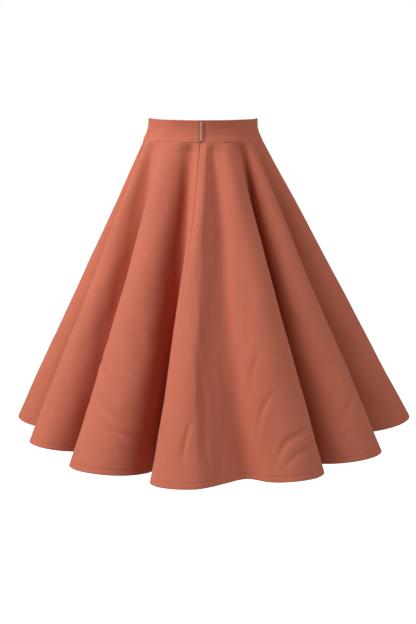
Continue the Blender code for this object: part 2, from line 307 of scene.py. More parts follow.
RIPPLES: tuple[Ripple, ...] = tuple(Ripple(*row) for row in (
    # place, width, depth, fade: twelve grooves drawn in under the seam, then the gathers
    (0.47, 0.16, 0.0042, 0.2), (1.48, 0.19, 0.0046, 0.22), (2.46, 0.2, 0.004, 0.2),
    (3.52, 0.2, 0.0042, 0.2), (4.47, 0.21, 0.004, 0.21), (5.5, 0.2, 0.0044, 0.2),
    (6.53, 0.2, 0.004, 0.2), (7.49, 0.21, 0.0042, 0.21), (8.5, 0.2, 0.0042, 0.2),
    (9.52, 0.18, 0.004, 0.2), (10.5, 0.19, 0.0044, 0.24), (11.5, 0.17, 0.0048, 0.22),
    (11.62, 0.1, 0.0012, 0.12), (11.94, 0.07, 0.0008, 0.1), (0.26, 0.08, 0.0016, 0.11),
    (0.74, 0.09, 0.0018, 0.13), (1.12, 0.1, 0.0012, 0.12), (1.7, 0.1, 0.0014, 0.12),
    (2.2, 0.1, 0.0012, 0.13), (2.86, 0.09, 0.001, 0.1), (3.24, 0.1, 0.0014, 0.12),
    (4.18, 0.1, 0.0013, 0.12), (5.25, 0.09, 0.0015, 0.11), (6.22, 0.1, 0.0012, 0.13),
    (7.3, 0.09, 0.0014, 0.12), (8.21, 0.1, 0.0013, 0.11), (9.7, 0.09, 0.001, 0.12),
    (10.8, 0.12, 0.001, 0.15), (11.15, 0.12, 0.001, 0.14),
))

CREASES: tuple[Crease, ...] = tuple(Crease(*row) for row in (
    # place, share, length, turn, bow, width, depth
    # the broad flute left of the zip: long bowed drags towards the groove
    (10.86, 0.66, 0.12, 38.0, 0.012, 0.0068, 0.0037),
    (10.92, 0.75, 0.15, 44.0, 0.018, 0.0081, 0.0051),
    (10.98, 0.83, 0.12, 50.0, 0.012, 0.0074, 0.0041),
    (10.84, 0.84, 0.1, 32.0, 0.01, 0.0068, 0.0037),
    (11.06, 0.6, 0.11, 30.0, 0.008, 0.0081, 0.0032),
    (11.12, 0.9, 0.09, 62.0, 0.008, 0.0068, 0.0032),
    # left edge flute
    (9.62, 0.78, 0.07, 48.0, 0.006, 0.0061, 0.0041),
    (9.7, 0.84, 0.06, 55.0, 0.006, 0.0054, 0.0032),
    (10.02, 0.88, 0.07, 30.0, 0.006, 0.0068, 0.0028),
    # the flute at the zip: a long soft edge down its right flank
    (0.16, 0.8, 0.23, 4.0, 0.016, 0.0162, 0.0051),
    (0.05, 0.88, 0.11, -18.0, -0.01, 0.0081, 0.0034),
    (0.21, 0.93, 0.08, 10.0, 0.006, 0.0074, 0.0028),
    # the flute right of the zip: bowed drags low on the crest
    (0.86, 0.82, 0.15, -42.0, -0.02, 0.0068, 0.0028),
    (0.98, 0.92, 0.16, -64.0, -0.02, 0.0061, 0.003),
    (1.02, 0.95, 0.14, -72.0, -0.014, 0.0054, 0.0023),
    (0.82, 0.7, 0.12, -30.0, -0.01, 0.0081, 0.0023),
    # right flutes
    (1.98, 0.86, 0.1, -34.0, -0.01, 0.0068, 0.0028),
    (2.1, 0.72, 0.12, -20.0, -0.008, 0.0081, 0.0028),
    (2.9, 0.84, 0.1, -40.0, -0.01, 0.0068, 0.0028),
    (3.1, 0.9, 0.09, 36.0, 0.008, 0.0068, 0.003),
    # front flutes, like those behind
    (3.92, 0.8, 0.13, 40.0, 0.014, 0.0074, 0.0039),
    (4.08, 0.88, 0.11, -48.0, -0.012, 0.0068, 0.0032),
    (4.94, 0.72, 0.12, -34.0, -0.01, 0.0074, 0.0032),
    (5.06, 0.9, 0.12, 55.0, 0.014, 0.0068, 0.0034),
    (5.9, 0.78, 0.14, 36.0, 0.014, 0.0074, 0.0037),
    (6.08, 0.92, 0.12, -66.0, -0.012, 0.0061, 0.0028),
    (6.96, 0.84, 0.12, -42.0, -0.014, 0.0068, 0.0037),
    (7.1, 0.68, 0.11, 28.0, 0.008, 0.0081, 0.0028),
    (7.94, 0.88, 0.12, 50.0, 0.012, 0.0068, 0.0034),
    (8.06, 0.76, 0.11, -30.0, -0.01, 0.0074, 0.003),
    (8.9, 0.86, 0.11, -46.0, -0.012, 0.0068, 0.0034),
    (9.08, 0.74, 0.1, 34.0, 0.008, 0.0074, 0.0028),
))


class Wave(NamedTuple):
    """A sine wave over the cloth: turns round, radians down, phase and size."""

    turns: float
    down: float
    phase: float
    size: float

    def at(self, angle: np.ndarray, down: np.ndarray) -> np.ndarray:
        """Its height at angles round the skirt and shares down it."""
        return self.size * np.sin(self.turns * angle + self.down * down + self.phase)


class Sway(NamedTuple):
    """A sideways lean of the cloth between waist and hem, in metres, round one place."""

    place: float
    width: float
    shift: float
    early: float
    late: float


SWAYS: tuple[Sway, ...] = (
    Sway(0.45, 0.45, -0.015, 1.6, 1.0), Sway(1.50, 0.35, 0.017, 1.0, 4.0),
    Sway(11.60, 0.30, 0.012, 1.0, 1.0), Sway(10.60, 0.30, 0.012, 1.0, 1.0),
    Sway(9.60, 0.30, 0.011, 1.0, 1.0),
)


@dataclass(frozen=True)
class SkirtForm:
    """The worn form of the skirt: straight threads from the waist to a fluted hem."""

    band_height: float = 0.045
    waist_x: float = 0.1251
    waist_y: float = 0.1006
    seam_gap: float = 0.00004
    hug: float = 0.016
    hug_place: float = 0.30
    ease_off: float = 0.30
    soften: float = 0.025
    soften_more: float = 0.105
    low_size: float = 0.0008
    fine_size: float = 0.0003
    low_waves: tuple[Wave, ...] = (Wave(7.0, 5.3, 0.7, 1.0), Wave(17.0, -8.1, 2.1, 1.0),
                                   Wave(29.0, 13.7, 4.0, 0.8))
    fine_waves: tuple[Wave, ...] = (Wave(53.0, 21.0, 1.3, 1.0), Wave(9.0, 19.0, 0.0, 1.0),
                                    Wave(83.0, -31.0, 0.0, 0.6))

    @staticmethod
    def half_fold(place: float) -> tuple[Flute, Flute, float, float]:
        """The lobe, its groove, the side and the share from crest to groove."""
        number = int(math.floor(place)) % len(FLUTES)
        share = place - math.floor(place)
        if share <= 0.5:
            return FLUTES[number], FLUTES[number], 1.0, share * 2.0
        return FLUTES[(number + 1) % len(FLUTES)], FLUTES[number], -1.0, 2.0 - share * 2.0

    def hem_point(self, place: float) -> np.ndarray:
        """Point of the hem at a place round the skirt."""
        lobe, groove, side, share = self.half_fold(place)
        out = outward(lobe.hem_deg)
        turning = sideways(lobe.hem_deg) * side
        wrap = math.radians(groove.wrap_deg)
        angle = wrap * min(share * 2.0, 1.0)
        edge = out * (lobe.reach + lobe.swell * math.cos(angle))
        edge = edge + turning * (lobe.swell * math.sin(angle))
        if share > 0.5:
            end = outward(groove.groove_deg) * groove.groove_reach
            chord = float(np.linalg.norm(end - edge))
            leave = (turning * math.cos(wrap) - out * math.sin(wrap)) * chord
            arrive = sideways(groove.groove_deg) * (side * chord * 0.75)
            edge = bend(edge, leave, end, arrive, share * 2.0 - 1.0)
        depth = share * share * (3.0 - 2.0 * share)
        edge[2] = -self.band_height - lobe.drop - (groove.groove_drop - lobe.drop) * depth
        return edge

    def waist_point(self, place: float) -> np.ndarray:
        """Point of the waist seam at a place round the skirt."""
        lobe, groove, side, share = self.half_fold(place)
        swing = (groove.groove_waist_deg - lobe.waist_deg) * side % 360.0
        point = oval(lobe.waist_deg + side * swing * share, self.waist_x, self.waist_y)
        point[2] = -self.band_height - self.seam_gap
        return point

    def smooth(self, places: np.ndarray, shares: np.ndarray) -> np.ndarray:
        """The fluted form with its turns eased, rows by columns by 3."""
        reach = self.soften + self.soften_more * self.near(places, 0.25, 0.35)
        return (self.fluted(places - reach, shares) + self.fluted(places, shares)
                + self.fluted(places + reach, shares)) / 3.0

    def fluted(self, places: np.ndarray, shares: np.ndarray) -> np.ndarray:
        """The plain fluted form, rows by columns by 3."""
        top = np.array([self.waist_point(place) for place in places])
        hem = np.array([self.hem_point(place) for place in places])
        depth = ease(np.array([self.half_fold(place)[3] for place in places]))
        depth = depth * (1.0 - self.ease_off * self.near(places, 0.5, 0.4))
        points = top[None] + (hem - top)[None] * shares[:, None, None]
        reach = shares[:, None] / self.hug_place
        hug = self.hug * depth[None] * reach * np.exp(1.0 - reach) * (1.0 - shares[:, None])
        points[..., 2] -= dip(top)[None] * (1.0 - shares[:, None]) ** 3
        radius = np.hypot(points[..., 0], points[..., 1])
        points[..., :2] *= (1.0 - hug / radius)[..., None]
        lean = self.lean(places, shares) / radius
        shifted = points.copy()
        shifted[..., 0] -= points[..., 1] * lean
        shifted[..., 1] += points[..., 0] * lean
        return shifted

    @staticmethod
    def near(places: np.ndarray, place: float, width: float) -> np.ndarray:
        """A soft bump, 1 at a place and 0 away from it."""
        return dent(fold_gap(places, place), 0.0, 1.0, width)

    def lean(self, places: np.ndarray, shares: np.ndarray) -> np.ndarray:
        """Sideways lean in metres at every row and column."""
        total = np.zeros((len(shares), len(places)))
        for sway in SWAYS:
            top = sway.early / (sway.early + sway.late)
            peak = top ** sway.early * (1.0 - top) ** sway.late
            down = shares ** sway.early * (1.0 - shares) ** sway.late / peak
            total += sway.shift * down[:, None] * self.near(places, sway.place,
                                                            sway.width)[None, :]
        return total

    def life(self, places: np.ndarray, shares: np.ndarray) -> np.ndarray:
        """Small unevenness of hanging cloth, in metres out, rows by columns."""
        angle = places[None, :] / len(FLUTES) * TURN
        down = shares[:, None]
        low = sum(wave.at(angle, down) for wave in self.low_waves)
        first, second, third = (wave.at(angle, down) for wave in self.fine_waves)
        fine = first * second + third
        out = self.low_size * low * ease(down / 0.25)
        out = out + self.fine_size * fine * ease((down - 0.1) / 0.5)
        for mark in (*RIPPLES, *CREASES):
            out = out + mark.press(places, shares)
        return out


FORM = SkirtForm()


# ---- meshes ----------------------------------------------------------------------


@dataclass
class Shell:
    """A closed wall whose profile runs down outside, round an edge and up inside."""

    outer: np.ndarray
    inner: np.ndarray
    foot: np.ndarray
    head: np.ndarray
    flat: np.ndarray

    def build(self, name: str, sharp_deg: float = 50.0) -> bpy.types.Object:
        """Make the object.

        Args:
            name: the piece's name.
            sharp_deg: edges over this angle stay crisp.

        Returns:
            A mesh object at the origin with its flat cut as its UV map.
        """
        rows, columns = self.outer.shape[:2]
        rings = [*self.outer, *self.foot, *self.inner[::-1], *self.head]
        flat_rows = [*self.flat] + [self.flat[-1]] * len(self.foot)
        flat_rows += [*self.flat[::-1]] + [self.flat[0]] * len(self.head)
        points = np.concatenate(rings)
        total = len(rings)
        ring = np.arange(total)[:, None]
        column = np.arange(columns - 1)[None, :]
        after = (ring + 1) % total
        quads = np.stack([ring * columns + column, after * columns + column,
                          after * columns + column + 1, ring * columns + column + 1], axis=-1)
        faces: list[Sequence[int]] = quads.reshape(-1, 4).tolist()
        inside = rows + len(self.foot)
        for edge in (0, columns - 1):
            out = [row * columns + edge for row in range(rows)]
            back = [(inside + rows - 1 - row) * columns + edge for row in range(rows)]
            foot = [(rows + step) * columns + edge for step in range(len(self.foot))]
            head = [(inside + rows + step) * columns + edge for step in range(len(self.head))]
            caps = [[out[row], back[row], back[row + 1], out[row + 1]]
                    for row in range(rows - 1)]
            if foot:
                caps.append([out[-1], back[-1], *foot[::-1]])
            if head:
                caps.append([out[0], *head[::-1], back[0]])
            faces += caps if edge == 0 else [cap[::-1] for cap in caps]
        mesh = bpy.data.meshes.new(name)
        mesh.from_pydata(points.tolist(), [], faces)
        layer = mesh.uv_layers.new(name="flat_cut")
        spots = np.concatenate(flat_rows)
        corner = np.empty(len(mesh.loops), dtype=np.int32)
        mesh.loops.foreach_get("vertex_index", corner)
        layer.data.foreach_set("uv", spots[corner].astype(np.float32).ravel())
        smooth_faces(mesh, sharp_deg)
        return add_object(name, mesh)


def round_edge(outer: np.ndarray, inner: np.ndarray, way: np.ndarray, steps: int,
               bulge: float) -> np.ndarray:
    """Rows that carry a wall round its edge from one face to the other.

    Args:
        outer: the row the turn leaves.
        inner: the row the turn reaches.
        way: direction in which the edge stands out, per column.
        steps: how many rows to make.
        bulge: how far the edge stands out, against half the wall.

    Returns:
        steps rows by columns by 3.
    """
    middle = (outer + inner) / 2.0
    half = (outer - inner) / 2.0
    size = np.linalg.norm(half, axis=-1, keepdims=True) * bulge
    rows = []
    for step in range(1, steps + 1):
        angle = math.pi * step / (steps + 1)
        rows.append(middle + half * math.cos(angle) + way * size * math.sin(angle))
    return np.array(rows)


def path_object(name: str, lines: Iterable[np.ndarray]) -> bpy.types.Object:
    """An object of plain edges, one chain for each line of points."""
    spots: list[list[float]] = []
    edges: list[tuple[int, int]] = []
    for line in lines:
        start = len(spots)
        spots += line.tolist()
        edges += [(start + step, start + step + 1) for step in range(len(line) - 1)]
    mesh = bpy.data.meshes.new(name)
    mesh.from_pydata(spots, edges, [])
    return add_object(name, mesh)


# ---- shader groups and finishes -----------------------------------------------------


class GroupBuilder:
    """Lays out a shader node group with named inputs and outputs."""

    def __init__(self, name: str, inputs: dict[str, float | None],
                 outputs: Sequence[str]) -> None:
        """Start the group.

        Args:
            name: the group's name.
            inputs: defaults of its number inputs; None makes a vector input.
            outputs: names of its number outputs.
        """
        self.tree = bpy.data.node_groups.new(name, "ShaderNodeTree")
        face = self.tree.interface
        for label, value in inputs.items():
            kind = "NodeSocketVector" if value is None else "NodeSocketFloat"
            made = face.new_socket(name=label, in_out="INPUT", socket_type=kind)
            if value is not None:
                made.default_value = value
        for label in outputs:
            face.new_socket(name=label, in_out="OUTPUT", socket_type="NodeSocketFloat")
        self.start = self.tree.nodes.new("NodeGroupInput")
        self.end = self.tree.nodes.new("NodeGroupOutput")

    def math(self, operation: str, first: object, second: object = 0.0) -> bpy.types.NodeSocket:
        """A Math node on two sockets or numbers."""
        node = add_node(self.tree, "ShaderNodeMath", operation=operation)
        for place, value in enumerate((first, second)):
            if isinstance(value, bpy.types.NodeSocket):
                self.tree.links.new(value, node.inputs[place])
            else:
                node.inputs[place].default_value = float(value)
        return node.outputs[0]

    def noise(self, vector: bpy.types.NodeSocket, scale: float, detail: float,
              roughness: float = 0.55) -> bpy.types.NodeSocket:
        """A Noise texture's factor."""
        node = self.tree.nodes.new("ShaderNodeTexNoise")
        node.inputs["Scale"].default_value = scale
        node.inputs["Detail"].default_value = detail
        node.inputs["Roughness"].default_value = roughness
        self.tree.links.new(vector, node.inputs["Vector"])
        return node.outputs["Fac"]

    def stretch(self, vector: bpy.types.NodeSocket,
                scale: tuple[float, float, float]) -> bpy.types.NodeSocket:
        """A Mapping node that scales a vector."""
        node = self.tree.nodes.new("ShaderNodeMapping")
        node.inputs["Scale"].default_value = scale
        self.tree.links.new(vector, node.inputs["Vector"])
        return node.outputs[0]

    def give(self, label: str, value: bpy.types.NodeSocket) -> None:
        """Connect a group output."""
        self.tree.links.new(value, self.end.inputs[label])


def weave_group() -> bpy.types.NodeTree:
    """Fine twill with slubs and soft mottling, on flat cloth coordinates."""
    make = GroupBuilder("TwillWeave", {"Cloth": None, "Threads": 1900.0, "Slub": 1.0},
                        ("Height", "Tone", "Mottle"))
    cloth = make.start.outputs["Cloth"]
    threads = make.start.outputs["Threads"]
    split = make.tree.nodes.new("ShaderNodeSeparateXYZ")
    make.tree.links.new(cloth, split.inputs[0])
    across = make.math("MULTIPLY", split.outputs[0], threads)
    along = make.math("MULTIPLY", split.outputs[1], threads)
    rib = make.math("SINE", make.math("MULTIPLY", make.math("ADD", across, along), TURN / 3.0))
    warp = make.math("SINE", make.math("MULTIPLY", across, TURN))
    weft = make.math("SINE", make.math("MULTIPLY", along, TURN))
    cross = make.math("MULTIPLY", warp, weft)
    slub_a = make.noise(make.stretch(cloth, (18.0, 900.0, 1.0)), 1.0, 2.0)
    slub_b = make.noise(make.stretch(cloth, (900.0, 14.0, 1.0)), 1.0, 2.0)
    slub = make.math("MULTIPLY", make.math("SUBTRACT", make.math("ADD", slub_a, slub_b), 1.0),
                     make.start.outputs["Slub"])
    body = make.math("ADD", make.math("MULTIPLY", rib, 0.30), make.math("MULTIPLY", cross, 0.25))
    make.give("Height", make.math("ADD", body, make.math("MULTIPLY", slub, 1.4)))
    make.give("Tone", make.math("ADD", make.math("MULTIPLY", slub, 0.9),
                                make.math("MULTIPLY", body, 0.25)))
    wide = make.noise(make.stretch(cloth, (9.0, 6.0, 1.0)), 1.0, 4.0, 0.6)
    make.give("Mottle", make.math("SUBTRACT", wide, 0.5))
    return make.tree


def brushed_group() -> bpy.types.NodeTree:
    """Fine brushing and small rubs on zip metal, on object coordinates."""
    make = GroupBuilder("BrushedMetal", {"Spot": None, "Length": 1.0}, ("Height", "Rub"))
    spot = make.start.outputs["Spot"]
    lines = make.noise(make.stretch(spot, (9000.0, 9000.0, 700.0)), 1.0, 2.0)
    make.give("Height", make.math("MULTIPLY", lines, make.start.outputs["Length"]))
    make.give("Rub", make.noise(make.stretch(spot, (420.0, 420.0, 260.0)), 1.0, 3.0, 0.6))
    return make.tree


class Material:
    """A Principled material under construction."""

    def __init__(self, name: str) -> None:
        """Make an empty material with its shader and output."""
        self.data = bpy.data.materials.new(name)
        self.data.use_nodes = True
        self.tree = self.data.node_tree
        self.shader = self.tree.nodes["Principled BSDF"]

    def add(self, kind: str, **values: object) -> bpy.types.Node:
        """Add a node and set its attributes."""
        return add_node(self.tree, kind, **values)

    def link(self, source: bpy.types.NodeSocket, target: bpy.types.NodeSocket) -> None:
        """Connect two sockets."""
        self.tree.links.new(source, target)

    def group(self, tree: bpy.types.NodeTree, **values: float) -> bpy.types.Node:
        """Place a group and set its number inputs."""
        node = self.add("ShaderNodeGroup", node_tree=tree)
        for label, value in values.items():
            node.inputs[label].default_value = value
        return node

    def numbers(self, **values: float | tuple[float, ...]) -> None:
        """Set the shader's own sockets; underscores stand for spaces."""
        for label, value in values.items():
            self.shader.inputs[label.replace("_", " ")].default_value = value

    def ramp(self, factor: bpy.types.NodeSocket,
             stops: Sequence[tuple[float, tuple[float, float, float]]]) -> bpy.types.NodeSocket:
        """A colour ramp over a factor."""
        node = self.add("ShaderNodeValToRGB")
        band = node.color_ramp
        while len(band.elements) < len(stops):
            band.elements.new(0.5)
        for element, (spot, colour) in zip(band.elements, stops):
            element.position = spot
            element.color = (*colour, 1.0)
        self.link(factor, node.inputs[0])
        return node.outputs[0]

    def scale(self, value: bpy.types.NodeSocket, gain: float, add: float) -> bpy.types.NodeSocket:
        """A value times a gain plus a number."""
        node = self.add("ShaderNodeMath", operation="MULTIPLY_ADD")
        self.link(value, node.inputs[0])
        node.inputs[1].default_value = gain
        node.inputs[2].default_value = add
        return node.outputs[0]

    def plus(self, first: bpy.types.NodeSocket,
             second: bpy.types.NodeSocket) -> bpy.types.NodeSocket:
        """The sum of two values."""
        node = self.add("ShaderNodeMath", operation="ADD")
        self.link(first, node.inputs[0])
        self.link(second, node.inputs[1])
        return node.outputs[0]

    def bump(self, height: bpy.types.NodeSocket, strength: float, distance: float) -> None:
        """Feed a height to the shader's normal."""
        node = self.add("ShaderNodeBump")
        node.inputs["Strength"].default_value = strength
        node.inputs["Distance"].default_value = distance
        self.link(height, node.inputs["Height"])
        self.link(node.outputs["Normal"], self.shader.inputs["Normal"])


@dataclass(frozen=True)
class WovenCloth:
    """Matt woven cloth with a fine twill, slubs and a soft sheen."""

    name: str
    deep: tuple[float, float, float]
    body: tuple[float, float, float]
    light: tuple[float, float, float]
    threads: float = 1900.0
    slub: float = 1.0
    bump: float = 0.35
    sheen: float = 0.22
    roughness: float = 0.82

    def make(self, weave: bpy.types.NodeTree) -> bpy.types.Material:
        """Build the material from the shared weave group."""
        cloth = Material(self.name)
        cut = cloth.add("ShaderNodeUVMap", uv_map="flat_cut")
        twill = cloth.group(weave, Threads=self.threads, Slub=self.slub)
        cloth.link(cut.outputs[0], twill.inputs["Cloth"])
        tone = cloth.scale(twill.outputs["Tone"], 0.55, 0.5)
        mixed = cloth.plus(tone, cloth.scale(twill.outputs["Mottle"], 0.45, 0.0))
        colour = cloth.ramp(mixed, ((0.05, self.deep), (0.5, self.body), (0.95, self.light)))
        cloth.link(colour, cloth.shader.inputs["Base Color"])
        cloth.link(cloth.scale(twill.outputs["Mottle"], 0.12, self.roughness),
                   cloth.shader.inputs["Roughness"])
        cloth.bump(twill.outputs["Height"], self.bump, 0.00012)
        cloth.numbers(Sheen_Weight=self.sheen, Sheen_Roughness=0.45,
                      Sheen_Tint=(1.0, 0.72, 0.62, 1.0), Specular_IOR_Level=0.25)
        return cloth.data


@dataclass(frozen=True)
class Thread:
    """Sewing or coil thread with a slight twist and gloss."""

    name: str
    colour: tuple[float, float, float]
    roughness: float

    def make(self) -> bpy.types.Material:
        """Build the material."""
        thread = Material(self.name)
        spot = thread.add("ShaderNodeTexCoord")
        grain = thread.add("ShaderNodeTexNoise")
        grain.inputs["Scale"].default_value = 1400.0
        thread.link(spot.outputs["Object"], grain.inputs["Vector"])
        dark = tuple(part * 0.72 for part in self.colour)
        colour = thread.ramp(grain.outputs["Fac"], ((0.3, dark), (0.7, self.colour)))
        thread.link(colour, thread.shader.inputs["Base Color"])
        thread.bump(grain.outputs["Fac"], 0.3, 0.00005)
        thread.numbers(Roughness=self.roughness, Sheen_Weight=0.1)
        return thread.data


@dataclass(frozen=True)
class ZipMetal:
    """Pale brushed metal, rubbed brighter where it is handled."""

    name: str
    dull: tuple[float, float, float]
    bright: tuple[float, float, float]

    def make(self, brushed: bpy.types.NodeTree) -> bpy.types.Material:
        """Build the material from the shared brushing group."""
        metal = Material(self.name)
        spot = metal.add("ShaderNodeTexCoord")
        wear = metal.group(brushed, Length=1.0)
        metal.link(spot.outputs["Object"], wear.inputs["Spot"])
        colour = metal.ramp(wear.outputs["Rub"], ((0.35, self.dull), (0.65, self.bright)))
        metal.link(colour, metal.shader.inputs["Base Color"])
        metal.link(metal.scale(wear.outputs["Rub"], -0.20, 0.48),
                   metal.shader.inputs["Roughness"])
        metal.bump(wear.outputs["Height"], 0.15, 0.00004)
        metal.numbers(Metallic=0.45)
        return metal.data


@dataclass
class Finishes:
    """Every finish of the skirt, made once."""

    cloth: bpy.types.Material = field(init=False)
    tape: bpy.types.Material = field(init=False)
    thread: bpy.types.Material = field(init=False)
    coil: bpy.types.Material = field(init=False)
    metal: bpy.types.Material = field(init=False)

    def __post_init__(self) -> None:
        """Build the materials from the two shared groups."""
        weave = weave_group()
        brushed = brushed_group()
        self.cloth = WovenCloth("terracotta_twill", (0.42, 0.102, 0.056),
                                (0.51, 0.134, 0.077), (0.59, 0.170, 0.102)).make(weave)
        self.tape = WovenCloth("zip_tape_weave", (0.30, 0.090, 0.055), (0.37, 0.115, 0.070),
                               (0.44, 0.14, 0.09), threads=1300.0, slub=0.3, bump=0.5,
                               sheen=0.05, roughness=0.7).make(weave)
        self.thread = Thread("sewing_thread", (0.44, 0.140, 0.088), 0.60).make()
        self.coil = Thread("nylon_coil", (0.36, 0.115, 0.075), 0.35).make()
        self.metal = ZipMetal("pale_brass", (0.70, 0.58, 0.44), (0.95, 0.88, 0.76)).make(brushed)


# ---- pieces ------------------------------------------------------------------------


def declare(piece: bpy.types.Object, body: Body, finish: bpy.types.Material,
            stands_for: Sequence[str] = ()) -> bpy.types.Object:
    """Dress a piece, hang it on the empty of its body and hide the CAD nodes it stands for.

    Args:
        piece: the finished object.
        body: the body it moves with.
        finish: its material.
        stands_for: CAD nodes it replaces.

    Returns:
        The same object.
    """
    piece.data.materials.clear()
    piece.data.materials.append(finish)
    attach(piece, body.value)
    if stands_for:
        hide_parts(*stands_for)
    LOG.info("%-18s %7d faces on %s", piece.name, len(piece.data.polygons), body.value)
    return piece


@dataclass
class ClothPanel:
    """One panel of the skirt between two places round it."""

    name: str
    start: float
    end: float
    grain: float
    per_flute: int
    rows: int
    wall: float = 0.0012
    hem_wall: float = 0.0022
    hem_turn: float = 0.012
    seam_gap: float = 0.00002
    seam_tuck: float = 0.0012
    seam_dip: float = 0.0017
    seam_width: float = 0.0014
    seam_relax: float = 0.55
    hem_stitch: float = 0.0095
    stitch_dip: float = 0.00035
    stitch_width: float = 0.0011
    outer: np.ndarray = field(init=False)
    normals: np.ndarray = field(init=False)
    places: np.ndarray = field(init=False)
    shares: np.ndarray = field(init=False)

    def plan(self) -> None:
        """Settle the rows and columns of the panel's grid."""
        count = max(8, round((self.end - self.start) * self.per_flute))
        self.places = np.linspace(self.start, self.end, count + 1)
        turn = self.hem_turn / CUT.length
        top = np.linspace(0.0, 0.05, 10, endpoint=False)
        middle = np.linspace(0.05, 1.0 - turn * 1.12, self.rows, endpoint=False)
        hem = 1.0 - turn * np.array([1.12, 1.06, 1.0, 0.9, 0.82, 0.76, 0.6, 0.4, 0.2, 0.06, 0.0])
        self.shares = np.concatenate([top, middle, hem])

    def seam_press(self) -> np.ndarray:
        """Sewn edges lie a little in, most where the seam is pressed near the waist."""
        near = np.minimum(self.places - self.start, self.end - self.places)[None, :]
        away = near * TURN / len(FLUTES) * CUT.radius(self.shares[:, None])
        firm = 1.0 - self.seam_relax * ease((self.shares[:, None] - 0.25) / 0.5)
        return -firm * dent(away, 0.0, self.seam_dip, self.seam_width)

    def stitch_press(self) -> np.ndarray:
        """The machine line along the hem draws the cloth in."""
        up = (1.0 - self.shares[:, None]) * CUT.length
        return -dent(up, self.hem_stitch, self.stitch_dip, self.stitch_width)

    def shape(self) -> None:
        """Work out the outer face and its normals, then add the small forms."""
        step = self.places[1] - self.places[0]
        wide = np.concatenate([[self.places[0] - step], self.places, [self.places[-1] + step]])
        plain = FORM.smooth(wide, self.shares)
        lively = FORM.life(wide, self.shares)
        points = plain + grid_normals(plain) * lively[..., None]
        normals = grid_normals(points)[:, 1:-1]
        points = points[:, 1:-1]
        inside = self.seam_press() + self.stitch_press()
        points = points + normals * inside[..., None]
        for edge, beside in ((0, 1), (-1, -2)):
            along = points[:, beside] - points[:, edge]
            points[:, edge] += unit(along) * (self.seam_gap / 2.0)
        self.outer = points
        self.normals = normals

    def thickness(self) -> np.ndarray:
        """Wall thickness of each row: single cloth, double along the hem turn."""
        up = (1.0 - self.shares) * CUT.length
        edge = ease((self.hem_turn * 1.06 - up) / (self.hem_turn * 0.08))
        return self.wall + (self.hem_wall - self.wall) * edge

    def build(self, finishes: Finishes) -> bpy.types.Object:
        """Make the panel, with its flat cut as its UV map, and dress it.

        Args:
            finishes: the skirt's materials.

        Returns:
            The panel's object.
        """
        self.plan()
        self.shape()
        inner = self.outer - self.normals * self.thickness()[:, None, None]
        down = unit(self.outer[-1] - self.outer[-3])
        foot = round_edge(self.outer[-1], inner[-1], down, 3, 0.9)
        flat = CUT.flat(self.places, self.shares, self.grain)
        tuck = np.array([0.0, 0.0, self.seam_tuck])
        head = np.stack([inner[0] + tuck, (inner[0] + self.outer[0]) / 2.0 + tuck])
        shell = Shell(self.outer, inner, foot, head, flat)
        piece = shell.build(self.name + "_cloth")
        declare(piece, Body.SKIRT, finishes.cloth, (self.name,))
        return piece

    def line_at(self, up: float, proud: float) -> np.ndarray:
        """A line of points along the panel at a height above the hem."""
        share = 1.0 - up / CUT.length
        row = int(np.argmin(np.abs(self.shares - share)))
        return self.outer[row, 1:-1] + self.normals[row, 1:-1] * proud


class BandRow(NamedTuple):
    """One level round the waistband: height, half width and half depth."""

    z: float
    half_x: float
    half_y: float


